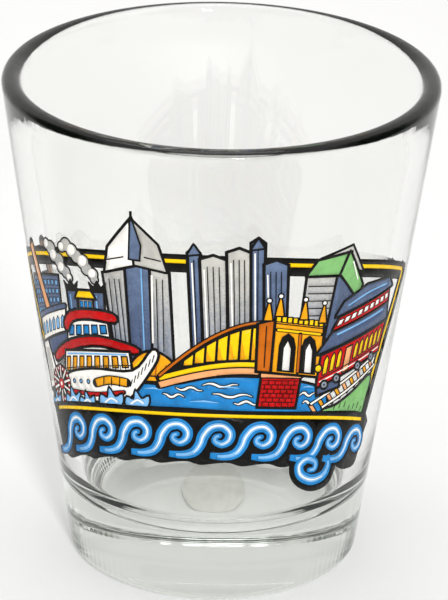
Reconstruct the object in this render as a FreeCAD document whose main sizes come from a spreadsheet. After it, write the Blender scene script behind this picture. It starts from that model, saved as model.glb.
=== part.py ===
import FreeCAD, Part
import math
import os
import Sketcher

# A souvenir shot glass: one pressed glass body, a fired print on its wall, and a blank paper
# sticker under its base. Millimetres, +Z up, origin at the centre of the face it stands on,
# with the print facing -Y.

vec = FreeCAD.Vector
vec2 = FreeCAD.Base.Vector2d
doc = FreeCAD.newDocument("shot_glass")

# ---- driving sizes ------------------------------------------------------------------------

driving_sizes = [
    ("rim_diameter", 51.1, "outside, where the wall's line meets the rim's height"),
    ("glass_height", 59.8, "base to rim"),
    ("base_diameter", 34.2, "outside, where the wall's line meets the table"),
    ("rim_wall", 2.25, "wall thickness at the rim"),
    ("floor_wall", 2.6, "wall thickness beside the cavity floor"),
    ("base_thickness", 8.0, "glass under the cavity floor"),
    ("floor_fillet", 5.0, "radius between the cavity floor and the wall"),
    ("foot_fillet", 1.3, "radius between the base and the wall"),
    ("foot_ring", 3.6, "width of the ring it stands on, with its rounded edge"),
    ("punt_depth", 0.6, "how far the middle of the underside rises"),
    ("print_width", 60.0, "along the wall, side to side"),
    ("print_height", 36.0, "up the wall, lowest ink to highest"),
    ("print_rim_gap", 7.5, "rim down to the highest ink"),
    ("print_turn", -3.0, "degrees about the glass, from the front"),
    ("ink_thickness", 0.04, "one fired ink"),
    ("sticker_width", 7.8, "oval sticker under the base, side to side"),
    ("sticker_length", 15.0, "front to back"),
    ("sticker_setback", 3.5, "its middle, behind the glass's axis"),
    ("sticker_thickness", 0.1, "paper"),
]

sizes = doc.addObject("Spreadsheet::Sheet", "sizes")
for row, (alias, value, note) in enumerate(driving_sizes, start=1):
    sizes.set("A%d" % row, alias)
    sizes.set("B%d" % row, str(value))
    sizes.set("C%d" % row, note)
    sizes.setAlias("B%d" % row, alias)
doc.recompute()


def size(alias):
    return float(sizes.get(alias))


# ---- sketch helpers -----------------------------------------------------------------------

def origin_plane(body, role):
    return [plane for plane in body.Origin.OriginFeatures if plane.Role == role][0]


def new_sketch(body, name):
    # x across the glass, y up its axis
    sketch = body.newObject("Sketcher::SketchObject", name)
    sketch.AttachmentSupport = [(origin_plane(body, "XZ_Plane"), "")]
    sketch.MapMode = "FlatFace"
    return sketch


def pin_point(sketch, edge, end, across, up):
    # each coordinate is a starting value and an expression; None keeps it on the origin's axis
    for kind, coordinate, axis in (("DistanceX", across, -2), ("DistanceY", up, -1)):
        if coordinate is None:
            sketch.addConstraint(Sketcher.Constraint("PointOnObject", edge, end, axis))
            continue
        value, expression = coordinate
        number = sketch.addConstraint(Sketcher.Constraint(kind, -1, 1, edge, end, value))
        sketch.setExpression("Constraints[%d]" % number, expression)


def closed_profile(sketch, corners):
    # straight edges through corners, each pinned by two bound coordinates
    points = []
    for across, up in corners:
        points.append(vec(across[0] if across else 0, up[0] if up else 0, 0))
    count = len(points)
    for number in range(count):
        sketch.addGeometry(Part.LineSegment(points[number], points[(number + 1) % count]), False)
    for number in range(count):
        sketch.addConstraint(Sketcher.Constraint("Coincident", number, 2, (number + 1) % count, 1))
        pin_point(sketch, number, 1, *corners[number])


def revolve(body, sketch, kind, name):
    feature = body.newObject(kind, name)
    feature.Profile = sketch
    feature.ReferenceAxis = (sketch, ["V_Axis"])
    feature.Angle = 360
    doc.recompute()
    return feature


def ring_edges(shape, radius, height):
    # the names of the circular edges of this radius at this height
    names = []
    for number, edge in enumerate(shape.Edges, start=1):
        if edge.Degenerated or edge.Curve.TypeId != "Part::GeomCircle":
            continue
        if abs(edge.Curve.Radius - radius) < 0.01 and abs(edge.Curve.Center.z - height) < 0.01:
            names.append("Edge%d" % number)
    return names


def round_off(body, name, edges, expression):
    base = body.Tip
    fillet = body.newObject("PartDesign::Fillet", name)
    fillet.Base = (base, edges)
    fillet.setExpression("Radius", expression)
    doc.recompute()
    return fillet


# ---- the glass ----------------------------------------------------------------------------

rim_radius = size("rim_diameter") / 2
base_radius = size("base_diameter") / 2
height = size("glass_height")
wall_slope = (rim_radius - base_radius) / height          # outward per millimetre of height
floor_radius = base_radius + wall_slope * size("base_thickness") - size("floor_wall")

glass = doc.addObject("PartDesign::Body", "glass_body")
glass.Label = "glass_body"

blank = new_sketch(glass, "blank_profile")
closed_profile(blank, [
    (None, None),
    ((base_radius, "sizes.base_diameter / 2"), None),
    ((rim_radius, "sizes.rim_diameter / 2"), (height, "sizes.glass_height")),
    (None, (height, "sizes.glass_height")),
])
revolve(glass, blank, "PartDesign::Revolution", "blank")

floor_radius_rule = ("sizes.base_diameter / 2 - sizes.floor_wall + sizes.base_thickness"
                     " * (sizes.rim_diameter - sizes.base_diameter) / 2 / sizes.glass_height")
mouth_rule = "sizes.rim_diameter / 2 - sizes.rim_wall"
cavity = new_sketch(glass, "cavity_profile")
closed_profile(cavity, [
    (None, (size("base_thickness"), "sizes.base_thickness")),
    ((floor_radius, floor_radius_rule), (size("base_thickness"), "sizes.base_thickness")),
    ((rim_radius - size("rim_wall"), mouth_rule), (height, "sizes.glass_height")),
    (None, (height, "sizes.glass_height")),
])
revolve(glass, cavity, "PartDesign::Groove", "cavity")

# the underside rises in a shallow dome, so that only a ring stands on the table
punt_radius = base_radius - size("foot_ring")
punt_depth = size("punt_depth")
dome_radius = (punt_radius ** 2 + punt_depth ** 2) / (2 * punt_depth)
punt_rule = "(sizes.base_diameter / 2 - sizes.foot_ring)"
dome_rule = "(" + punt_rule + "^2 + sizes.punt_depth^2) / (2 * sizes.punt_depth)"
punt = new_sketch(glass, "punt_profile")
punt.addGeometry(Part.LineSegment(vec(0, 0, 0), vec(punt_radius, 0, 0)), False)
rim_angle = math.acos(punt_radius / dome_radius)
dome_circle = Part.Circle(vec(0, punt_depth - dome_radius, 0), vec(0, 0, 1), dome_radius)
punt.addGeometry(Part.ArcOfCircle(dome_circle, rim_angle, math.pi / 2), False)
punt.addGeometry(Part.LineSegment(vec(0, punt_depth, 0), vec(0, 0, 0)), False)
for edge, next_edge in ((0, 1), (1, 2), (2, 0)):
    punt.addConstraint(Sketcher.Constraint("Coincident", edge, 2, next_edge, 1))
pin_point(punt, 0, 1, None, None)
pin_point(punt, 0, 2, (punt_radius, punt_rule), None)
pin_point(punt, 2, 1, None, (punt_depth, "sizes.punt_depth"))
punt.addConstraint(Sketcher.Constraint("PointOnObject", 1, 3, -2))
revolve(glass, punt, "PartDesign::Groove", "punt")

rim_edges = ring_edges(glass.Shape, rim_radius, height)
rim_edges += ring_edges(glass.Shape, rim_radius - size("rim_wall"), height)
round_off(glass, "rim_round", rim_edges, "sizes.rim_wall * 0.46")
floor_edges = ring_edges(glass.Shape, floor_radius, size("base_thickness"))
round_off(glass, "floor_round", floor_edges, "sizes.floor_fillet")
foot_edges = ring_edges(glass.Shape, base_radius, 0)
round_off(glass, "foot_round", foot_edges, "sizes.foot_fillet")

# ---- the sticker: paper that follows the dome under the base ---------------------------------

def bound(kind, name, **rules):
    item = doc.addObject(kind, name)
    for prop, expression in rules.items():
        item.setExpression(prop.replace("_", "."), expression)
    return item


dome_centre_rule = "sizes.punt_depth - " + dome_rule
dome = bound("Part::Sphere", "dome", Radius=dome_rule, Placement_Base_z=dome_centre_rule)
paper_side = bound("Part::Sphere", "dome_less_paper", Radius=dome_rule + " - sizes.sticker_thickness",
                   Placement_Base_z=dome_centre_rule)
paper = doc.addObject("Part::Cut", "paper_shell")
paper.Base = dome
paper.Tool = paper_side
oval = bound("Part::Ellipse", "sticker_outline", MajorRadius="sizes.sticker_length / 2",
             MinorRadius="sizes.sticker_width / 2", Placement_Base_y="sizes.sticker_setback")
oval.Placement.Rotation = FreeCAD.Rotation(vec(0, 0, 1), 90)
cutter = bound("Part::Extrusion", "sticker_cutter", LengthFwd="sizes.punt_depth * 2")
cutter.Base = oval
cutter.Dir = vec(0, 0, 1)
cutter.Solid = True
sticker = doc.addObject("Part::Common", "underside_sticker")
sticker.Base = paper
sticker.Tool = cutter
sticker.Label = "underside_sticker"

# ---- the print: what is drawn on its flat sheet ------------------------------------------------

# Sheet millimetres: x from the middle, y up from the lowest ink. Later shapes cover earlier ones.
# The whole drawing arches, so its ends hang lower than its middle.
sheet_width = 60.6
sheet_height = 35.5
arch = 0.0088           # drop per square millimetre from the middle
keyline = 0.4           # black line round each coloured shape
longest_edge = 4.0      # longer straight edges are divided, so that they follow the arch
smallest_dab = 0.04     # square millimetres; a smaller scrap would not print

drawing = []


def draw(ink, points, line=keyline):
    drawing.append((ink, points, line))


def strip(points, width):
    # a line of even width through points
    left = []
    right = []
    for number, (x, y) in enumerate(points):
        before = points[max(number - 1, 0)]
        after = points[min(number + 1, len(points) - 1)]
        run = math.hypot(after[0] - before[0], after[1] - before[1])
        across = ((before[1] - after[1]) / run * width / 2, (after[0] - before[0]) / run * width / 2)
        left.append((x + across[0], y + across[1]))
        right.append((x - across[0], y - across[1]))
    return left + right[::-1]


def box(left, low, right, high, lean=0.0):
    # a block whose top edge is shifted sideways by lean
    return [(left, low), (right, low), (right + lean, high), (left + lean, high)]


def draw_frame():
    draw("black", strip([(-30.2, 29.1), (0, 29.1), (28.9, 29.1)], 2.4), 0)
    draw("black", strip([(28.6, 30.0), (25.9, 19.5), (23.4, 8.0)], 1.9), 0)
    draw("black", strip([(-29.8, 30.0), (-27.0, 19.5), (-24.4, 8.0)], 1.9), 0)
    draw("yellow", strip([(-29.2, 29.3), (0, 29.3), (28.0, 29.3)], 0.55), 0)
    draw("yellow", strip([(28.4, 28.6), (25.9, 19.0), (23.5, 8.6)], 0.55), 0)
    draw("yellow", strip([(-29.6, 28.6), (-27.0, 19.0), (-24.5, 8.6)], 0.55), 0)


def draw_towers():
    draw("light_grey", [(-11.2, 16.5), (-11.0, 28.2), (-7.6, 34.8), (-4.6, 28.6), (-3.8, 16.5)])
    draw("slate", [(-8.7, 16.5), (-8.6, 28.0), (-7.5, 30.2), (-6.5, 28.0), (-6.4, 16.5)], 0.25)
    draw("slate", box(-1.8, 16.5, 0.9, 30.2))
    draw("light_grey", box(0.9, 18.0, 3.6, 31.2))
    draw("slate", [(3.6, 18.0), (3.6, 30.6), (4.8, 32.3), (5.9, 30.6), (5.9, 18.0)])
    draw("light_grey", box(5.9, 18.0, 8.5, 29.0))
    draw("light_grey", [(10.8, 18.0), (11.4, 29.2), (16.6, 31.8), (18.2, 28.6), (18.0, 18.0)])
    draw("green", [(12.4, 25.0), (13.2, 29.3), (16.6, 30.6), (17.6, 28.4), (17.2, 25.6)], 0.25)
    draw("slate", box(-27.0, 20.5, -19.6, 26.6, -0.6))


def draw_river_and_bridge():
    draw("blue", [(-9.5, 9.6), (-9.5, 13.6), (-4.0, 13.2), (5.0, 15.6), (15.0, 14.4), (15.0, 9.6)])
    draw("amber", [(-9.6, 13.8), (-8.2, 16.4), (-5.8, 17.2), (-3.6, 15.6), (-3.0, 13.8)])
    draw("yellow", [(-5.6, 14.4), (-2.0, 17.6), (2.0, 20.2), (6.2, 21.4), (8.0, 20.8), (8.0, 16.2),
                    (3.0, 16.0), (-1.0, 15.2)])
    draw("brown", strip([(-5.0, 15.6), (-2.0, 18.0), (2.0, 20.6), (6.2, 21.8)], 0.6), 0.25)
    draw("tan", strip([(-5.0, 14.1), (0.0, 15.0), (5.0, 15.5), (8.0, 15.4)], 0.6), 0.2)
    draw("red", box(6.5, 11.0, 11.2, 14.8))


def draw_gatehouse():
    draw("amber", box(7.2, 15.4, 14.0, 21.6))
    draw("brown", box(6.2, 15.4, 7.6, 21.4), 0.25)
    for left in (8.6, 11.6):
        right = left + 1.8
        draw("white", [(left, 15.8), (left, 18.4), (left + 0.9, 19.6), (right, 18.4), (right, 15.8)], 0.25)
    for middle in (8.2, 10.8, 13.4):
        draw("amber", [(middle - 0.7, 21.8), (middle, 25.0), (middle + 0.7, 21.8)], 0.3)


def draw_railcar():
    draw("green", [(15.8, 9.6), (20.4, 13.2), (23.6, 15.0), (22.8, 9.6)])
    draw("white", strip([(14.0, 10.6), (19.0, 13.6), (23.9, 16.2)], 0.7), 0.25)
    draw("red", [(14.2, 14.0), (14.4, 17.8), (24.9, 22.4), (24.4, 18.8)])
    draw("slate", [(13.8, 18.0), (15.0, 20.0), (25.8, 25.2), (25.6, 22.8)])
    for step in range(4):
        left = 15.2 + 2.5 * step
        low = 15.8 + 1.13 * step
        draw("yellow", box(left, low, left + 1.5, low + 1.6), 0.25)


def draw_riverboat():
    draw("pale_blue", [(-24.0, 9.4), (-23.0, 12.0), (-12.0, 11.6), (-6.0, 12.8), (-8.0, 9.6)])
    draw("white", [(-24.4, 11.0), (-25.2, 14.0), (-18.0, 13.8), (-7.0, 16.8), (-6.2, 15.4), (-9.2, 11.6)])
    draw("white", box(-22.2, 14.0, -9.6, 16.8))
    draw("red", [(-22.4, 16.8), (-20.6, 18.6), (-9.4, 18.4), (-8.4, 16.8)])
    draw("white", box(-19.0, 18.6, -11.8, 20.2))
    draw("red", [(-19.2, 20.2), (-17.6, 21.8), (-11.2, 21.6), (-10.8, 20.2)])
    for left in (-20.6, -17.8, -15.0, -12.2):
        draw("blue", box(left, 14.6, left + 1.5, 16.0), 0.2)
    for middle in (-17.0, -13.2):
        draw("slate", box(middle - 0.7, 21.8, middle + 0.7, 25.4))
        draw("light_grey", [(middle - 1.6, 26.4), (middle - 2.8, 30.0), (middle - 0.4, 31.6),
                            (middle + 1.0, 29.0), (middle + 0.6, 26.2)], 0.25)
    draw("red", [(-23.6, 12.4), (-22.6, 14.2), (-20.6, 14.2), (-19.6, 12.4), (-20.6, 10.6), (-22.6, 10.6)])
    draw("white", box(-22.2, 11.8, -21.0, 13.0), 0.2)
    draw("white", box(-26.2, 18.0, -20.0, 20.4))
    draw("tan", strip([(-25.4, 30.6), (-24.0, 26.6), (-23.0, 22.0)], 0.5), 0.2)


def draw_wave_panel():
    # a dark panel whose lower edge is scalloped, with a running band of blue waves in it
    scallops = []
    for step in range(9):
        left = 23.6 - 5.3 * step
        dip = 1.8 if 11.0 < left < 19.0 else 0.0
        scallops += [(left, 4.0 - dip), (left - 1.3, 3.0 - dip), (left - 4.0, 3.0 - dip), (left - 5.3, 4.0)]
    draw("black", [(-25.6, 10.2), (24.6, 10.2)] + scallops, 0)
    draw("yellow", strip([(-17.5, 9.4), (0, 9.5), (22.6, 9.4)], 0.45), 0)
    for step in range(9):
        left = -24.2 + 5.3 * step
        draw("blue", [(left, 4.3), (left + 1.7, 5.2), (left + 2.2, 7.2), (left + 3.6, 8.6),
                      (left + 5.0, 7.7), (left + 4.8, 6.4), (left + 3.7, 6.5), (left + 4.1, 5.3),
                      (left + 5.6, 5.0), (left + 5.6, 4.3)], 0)
    draw("blue", [(13.6, 1.9), (15.2, 1.4), (16.8, 1.9), (17.2, 3.1), (15.2, 3.9), (13.2, 3.1)], 0)


draw_frame()
draw_towers()
draw_river_and_bridge()
draw_gatehouse()
draw_railcar()
draw_riverboat()
draw_wave_panel()

# ---- the print: one thin layer for each ink, face to face on the wall --------------------------

def on_sheet(points):
    # the drawing at its printed size and arched, with long edges divided, anticlockwise
    across = size("print_width") / sheet_width
    up = size("print_height") / sheet_height
    turning = sum(a[0] * b[1] - b[0] * a[1] for a, b in zip(points, points[1:] + points[:1]))
    if turning < 0:
        points = points[::-1]
    placed = []
    for number, start in enumerate(points):
        end = points[(number + 1) % len(points)]
        parts = max(1, math.ceil(math.dist(start, end) / longest_edge))
        for part in range(parts):
            x = start[0] + (end[0] - start[0]) * part / parts
            y = start[1] + (end[1] - start[1]) * part / parts
            placed.append((x * across, (y - arch * x * x) * up))
    return placed


def grown(points, margin):
    # every edge moved outward by margin; sharp corners are cut short
    result = []
    for number, here in enumerate(points):
        before = points[number - 1]
        after = points[(number + 1) % len(points)]
        first = math.atan2(here[1] - before[1], here[0] - before[0])
        second = math.atan2(after[1] - here[1], after[0] - here[0])
        turn = (second - first + math.pi) % (2 * math.pi) - math.pi
        reach = margin / max(math.cos(turn / 2), 0.5)
        outward = first + turn / 2 - math.pi / 2
        result.append((here[0] + reach * math.cos(outward), here[1] + reach * math.sin(outward)))
    return result


def flat_face(points):
    corners = [vec(x, y, 0) for x, y in points]
    return Part.Face(Part.makePolygon(corners + corners[:1]))


def printed_regions():
    # what stays visible of each shape, by ink: its face less every later face that it meets
    layers = []
    for ink, points, line in drawing:
        if line:
            layers.append(("black", flat_face(grown(on_sheet(points), line))))
        layers.append((ink, flat_face(on_sheet(points))))
    regions = {}
    for number, (ink, face) in enumerate(layers):
        above = [later for later_ink, later in layers[number + 1:]
                 if later_ink != ink and later.BoundBox.intersect(face.BoundBox)]
        seen = face.cut(above) if above else face
        regions.setdefault(ink, []).extend(seen.Faces)
    return regions


wall_angle = math.atan(wall_slope)
print_middle = height - size("print_rim_gap") - size("print_height") / 2
print_radius = base_radius + wall_slope * print_middle
print_foot = height - size("print_rim_gap") - size("print_height")
wall = Part.makeCone(base_radius, rim_radius, height)
wall.rotate(vec(0, 0, 0), vec(0, 0, 1), 90 + size("print_turn"))     # its seam is behind the print
wall_surface = [face for face in wall.Faces if face.Surface.TypeId == "Part::GeomCone"][0].Surface


def wall_wire(wire):
    corners = [vec2(math.pi + vertex.X / print_radius, (vertex.Y + print_foot) / math.cos(wall_angle))
               for vertex in wire.OrderedVertexes]
    edges = []
    for number, corner in enumerate(corners):
        segment = Part.Geom2d.Line2dSegment(corner, corners[(number + 1) % len(corners)])
        edges.append(segment.toShape(wall_surface))
    return Part.Wire(edges)


def ink_solids(region):
    patch = Part.Face(wall_surface, wall_wire(region.OuterWire))
    holes = [wire for wire in region.Wires if not wire.isSame(region.OuterWire)]
    if holes:
        patch = patch.cut([Part.Face(wall_surface, wall_wire(wire)) for wire in holes])
    solids = []
    for face in patch.Faces:
        solids += face.makeOffsetShape(size("ink_thickness"), 1e-5, fill=True).Solids
    return solids


ink_nodes = []
for ink, faces in sorted(printed_regions().items()):
    merged = Part.makeShell(faces[0].multiFuse(faces[1:]).Faces).removeSplitter()
    solids = []
    for region in merged.Faces:
        if region.Area > smallest_dab:
            solids += ink_solids(region)
    layer = doc.addObject("Part::Feature", "ink_" + ink)
    layer.Label = "ink_" + ink
    layer.Shape = Part.makeCompound(solids)
    ink_nodes.append(layer)

# ---- check every object, then write the pieces --------------------------------------------------

doc.recompute()
for item in doc.Objects:
    if "Invalid" in item.State or "Error" in item.State:
        raise RuntimeError("%s failed: %s" % (item.Name, item.State))

pieces = [glass, sticker] + ink_nodes
for piece in pieces:
    if piece.Shape.isNull() or not piece.Shape.isValid() or not piece.Shape.Solids:
        raise RuntimeError("%s has no valid solid" % piece.Label)

os.makedirs("parts", exist_ok=True)
for piece in pieces:
    piece.Shape.exportStep("parts/%s.step" % piece.Label)
    print("%-20s %4d solids %10.3f mm3" % (piece.Label, len(piece.Shape.Solids), piece.Shape.Volume))
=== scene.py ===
# A souvenir shot glass with a fired print, on a pale table in soft studio light.
# Metres, +Z up; the print faces -Y. The flat sheet of the print is drawn in millimetres.
import bpy
import bmesh
import math
from mathutils import Matrix, Vector
from mathutils.geometry import delaunay_2d_cdt


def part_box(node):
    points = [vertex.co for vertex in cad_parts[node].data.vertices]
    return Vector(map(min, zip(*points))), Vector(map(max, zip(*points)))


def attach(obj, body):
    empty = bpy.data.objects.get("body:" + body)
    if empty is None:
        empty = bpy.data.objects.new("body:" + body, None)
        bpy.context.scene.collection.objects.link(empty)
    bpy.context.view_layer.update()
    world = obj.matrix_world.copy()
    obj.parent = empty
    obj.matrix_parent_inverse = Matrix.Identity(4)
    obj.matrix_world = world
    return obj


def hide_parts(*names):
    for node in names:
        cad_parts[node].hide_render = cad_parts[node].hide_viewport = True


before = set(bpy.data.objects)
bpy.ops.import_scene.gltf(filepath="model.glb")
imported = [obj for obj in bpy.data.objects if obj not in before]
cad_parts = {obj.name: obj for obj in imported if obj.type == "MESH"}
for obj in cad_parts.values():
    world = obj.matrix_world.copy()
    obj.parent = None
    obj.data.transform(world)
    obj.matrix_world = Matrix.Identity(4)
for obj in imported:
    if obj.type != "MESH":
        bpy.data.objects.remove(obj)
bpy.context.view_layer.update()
mm = 0.001
scene = bpy.context.scene
print("frame loaded")


cameraValues = {
    "place": (0.0, -0.4359, 0.2221),
    "pitch": 23.65,          # degrees below level
    "yaw": 0.104,            # degrees to the right
    "roll": 1.171,           # degrees
    "lens": 241.75,          # on a 36 mm sensor
}


def makeCamera(values):
    pitch = math.radians(values["pitch"])
    yaw = math.radians(values["yaw"])
    roll = math.radians(values["roll"])
    forward = Vector((math.sin(yaw) * math.cos(pitch), math.cos(yaw) * math.cos(pitch), -math.sin(pitch)))
    levelRight = Vector((math.cos(yaw), -math.sin(yaw), 0))
    levelUp = levelRight.cross(forward)
    right = levelRight * math.cos(roll) + levelUp * math.sin(roll)
    up = levelUp * math.cos(roll) - levelRight * math.sin(roll)
    data = bpy.data.cameras.new("camera")
    data.sensor_width = 36
    data.lens = values["lens"]
    data.clip_start = 0.01
    camera = bpy.data.objects.new("camera", data)
    turn = Matrix((right, up, -forward)).transposed().to_4x4()
    camera.matrix_world = Matrix.Translation(values["place"]) @ turn
    scene.collection.objects.link(camera)
    scene.camera = camera


makeCamera(cameraValues)
print("camera placed")


class Wire:
    # an output socket that can be added, multiplied and subtracted in plain expressions
    def __init__(self, shader, socket):
        self.shader = shader
        self.socket = socket

    def maths(self, operation, other, swap=False):
        pair = [other, self] if swap else [self, other]
        return self.shader.node("ShaderNodeMath", {"operation": operation}, {0: pair[0], 1: pair[1]})

    def __add__(self, other):
        return self.maths("ADD", other)

    __radd__ = __add__

    def __mul__(self, other):
        return self.maths("MULTIPLY", other)

    __rmul__ = __mul__

    def __sub__(self, other):
        return self.maths("SUBTRACT", other)

    def __rsub__(self, other):
        return self.maths("SUBTRACT", other, swap=True)


class Shader:
    # a material under construction, with one method for every kind of node
    def __init__(self, name):
        self.material = bpy.data.materials.new(name)
        self.material.use_nodes = True
        self.tree = self.material.node_tree
        self.surface = self.tree.nodes["Principled BSDF"]
        self.output = self.tree.nodes["Material Output"]
        self.place = self.node("ShaderNodeTexCoord", {}, {}, "Object")

    def node(self, kind, settings, inputs, output=0):
        made = self.tree.nodes.new(kind)
        for name, value in settings.items():
            setattr(made, name, value)
        for key, value in inputs.items():
            self.feed(made.inputs[key], value)
        return Wire(self, made.outputs[output])

    def ramp(self, factor, stops):
        made = self.tree.nodes.new("ShaderNodeValToRGB")
        while len(made.color_ramp.elements) < len(stops):
            made.color_ramp.elements.new(1.0)
        for element, (position, color) in zip(made.color_ramp.elements, stops):
            element.position = position
            element.color = tuple(color) + (1.0,) if len(color) == 3 else color
        self.feed(made.inputs[0], factor)
        return Wire(self, made.outputs[0])

    def noise(self, scale, detail=3.0, stretch=(1, 1, 1)):
        placed = self.node("ShaderNodeMapping", {}, {"Vector": self.place, "Scale": stretch})
        return self.node("ShaderNodeTexNoise", {}, {"Vector": placed, "Scale": scale, "Detail": detail},
                         "Fac")

    def mixColors(self, factor, first, second):
        made = self.tree.nodes.new("ShaderNodeMix")
        made.data_type = "RGBA"
        self.feed(made.inputs["Factor"], factor)
        self.feed(made.inputs[6], first)
        self.feed(made.inputs[7], second)
        return Wire(self, made.outputs[2])

    def bump(self, relief, distance, strength=1.0):
        return self.node("ShaderNodeBump", {}, {"Height": relief, "Distance": distance, "Strength": strength})

    def feed(self, socket, value):
        if isinstance(value, Wire):
            self.tree.links.new(value.socket, socket)
        elif socket.type == "RGBA" and len(value) == 3:
            socket.default_value = tuple(value) + (1.0,)
        else:
            socket.default_value = value

    def passLamps(self, tint, shares):
        # lamps shine through a clear surface onto what stands behind it, less so at its edges
        grazing = self.node("ShaderNodeLayerWeight", {}, {"Blend": 0.5}, "Facing")
        gate = self.node("ShaderNodeLightPath", {}, {}, "Is Shadow Ray") * self.ramp(grazing, shares)
        clear = self.node("ShaderNodeBsdfTransparent", {}, {"Color": tint})
        solid = Wire(self, self.surface.outputs[0])
        mixed = self.node("ShaderNodeMixShader", {}, {0: gate, 1: solid, 2: clear})
        self.feed(self.output.inputs["Surface"], mixed)

    def finish(self, **sockets):
        for name, value in sockets.items():
            self.feed(self.surface.inputs[name.replace("_", " ")], value)
        return self.material


def paintNumber(red, green, blue):
    # a display colour, 0 to 255, as the linear values that shaders use
    return tuple(((part / 255 + 0.055) / 1.055) ** 2.4 if part > 10 else part / 255 / 12.92
                 for part in (red, green, blue))


glassValues = {
    "baseRadius": 17.1,       # millimetres, where the wall's line meets the table
    "rimRadius": 25.55,       # where the wall's line meets the rim's height
    "rimWall": 2.25,
    "floorWall": 2.6,
    "floorHeight": 8.0,
    "floorFillet": 5.0,
    "footFillet": 1.3,
    "puntRadius": 13.5,
    "puntDepth": 0.6,
    "segments": 480,
    "stippleMarks": 120,      # pressed marks round the foot
    "stippleDepth": 0.05,
    # the glass's own faint tint, made darker as painted shade that dims all seen through it, like the shadow
    # behind the glass
    "tintWithPaintedShade": (0.945, 0.943, 0.934),
    "clarity": (0.79, 0.85, 0.78),
    "absorption": 16.0,
    "rimWaves": 1.2,          # how uneven the rounded rim is
    "rimLip": 0.46,           # radius of each rounded rim corner, as a share of the wall
    "stippleHeight": 2.2,     # how far up the marks reach
    "refraction": 1.52,
    "rippleDepth": 0.00012,   # metres
    "rippleStrength": 0.35,
    "lampTint": (0.79, 0.80, 0.79),
}

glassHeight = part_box("glass_body")[1].z / mm
wallSlope = (glassValues["rimRadius"] - glassValues["baseRadius"]) / glassHeight
wallAngle = math.atan(wallSlope)


def outerRadius(height):
    return glassValues["baseRadius"] + wallSlope * height


def arcPoints(center, radius, start, end, steps):
    points = []
    for step in range(steps + 1):
        angle = math.radians(start + (end - start) * step / steps)
        points.append((center[0] + radius * math.cos(angle), center[1] + radius * math.sin(angle)))
    return points


def corneredRound(before, corner, after, radius, steps):
    # the arc that rounds the corner between two straight runs
    toBefore = (Vector(before) - Vector(corner)).normalized()
    toAfter = (Vector(after) - Vector(corner)).normalized()
    half = toBefore.angle(toAfter) / 2
    middle = Vector(corner) + (toBefore + toAfter).normalized() * radius / math.sin(half)
    first = Vector(corner) + toBefore * radius / math.tan(half) - middle
    last = Vector(corner) + toAfter * radius / math.tan(half) - middle
    start = math.atan2(first.y, first.x)
    sweep = (math.atan2(last.y, last.x) - start + math.pi) % (2 * math.pi) - math.pi
    return arcPoints(middle, radius, math.degrees(start), math.degrees(start + sweep), steps)


def glassProfile(values):
    # radius and height, from the middle of the underside round to the middle of the cavity floor
    foot = (values["baseRadius"], 0.0)
    rimOut = (values["rimRadius"], glassHeight)
    rimIn = (values["rimRadius"] - values["rimWall"], glassHeight)
    floorEdge = (outerRadius(values["floorHeight"]) - values["floorWall"], values["floorHeight"])
    punt = values["puntRadius"]
    points = [(punt * step / 12, values["puntDepth"] * (1 - (step / 12) ** 2)) for step in range(13)]
    points += [(punt + 0.7 * step, 0.0) for step in (1, 2)]
    points += corneredRound((0, 0), foot, rimOut, values["footFillet"], 10)
    points += [(outerRadius(height), height) for height in range(4, int(glassHeight) - 2, 4)]
    rimRadius = values["rimWall"] * values["rimLip"]
    points += corneredRound(foot, rimOut, rimIn, rimRadius, 10)
    points += corneredRound(rimOut, rimIn, floorEdge, rimRadius, 10)
    inner = corneredRound(rimIn, floorEdge, (0, values["floorHeight"]), values["floorFillet"], 16)
    lowest = points[-1]
    points += [(lowest[0] + (inner[0][0] - lowest[0]) * step / 10,
                lowest[1] + (inner[0][1] - lowest[1]) * step / 10)
               for step in range(1, 10)]
    points += inner
    points += [(inner[-1][0] * (1 - step / 6), inner[-1][1]) for step in range(1, 7)]
    return points


def nodeMaker(tree):
    # one call for any node of a geometry tree
    def make(kind, settings=None, inputs=None):
        made = tree.nodes.new(kind)
        for name, value in (settings or {}).items():
            setattr(made, name, value)
        for key, value in (inputs or {}).items():
            if isinstance(value, bpy.types.NodeSocket):
                tree.links.new(value, made.inputs[key])
            else:
                made.inputs[key].default_value = value
        return made
    return make


def addInputs(tree, names):
    tree.interface.new_socket("Geometry", in_out="INPUT", socket_type="NodeSocketGeometry")
    for name, kind in names:
        tree.interface.new_socket(name, in_out="INPUT", socket_type=kind)
    tree.interface.new_socket("Geometry", in_out="OUTPUT", socket_type="NodeSocketGeometry")
    return tree.nodes.new("NodeGroupInput"), tree.nodes.new("NodeGroupOutput")


def bakeNodes(piece, tree, values):
    # run the tree on the piece, keep the result as a plain mesh and drop the modifier
    modifier = piece.modifiers.new("nodes", "NODES")
    modifier.node_group = tree
    for item in tree.interface.items_tree:
        if item.item_type == "SOCKET" and item.in_out == "INPUT" and item.name in values:
            modifier[item.identifier] = values[item.name]
    bpy.context.view_layer.update()
    evaluated = piece.evaluated_get(bpy.context.evaluated_depsgraph_get())
    mesh = bpy.data.meshes.new_from_object(evaluated)
    mesh.name = piece.name
    piece.modifiers.clear()
    piece.data = mesh
    return piece


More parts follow.
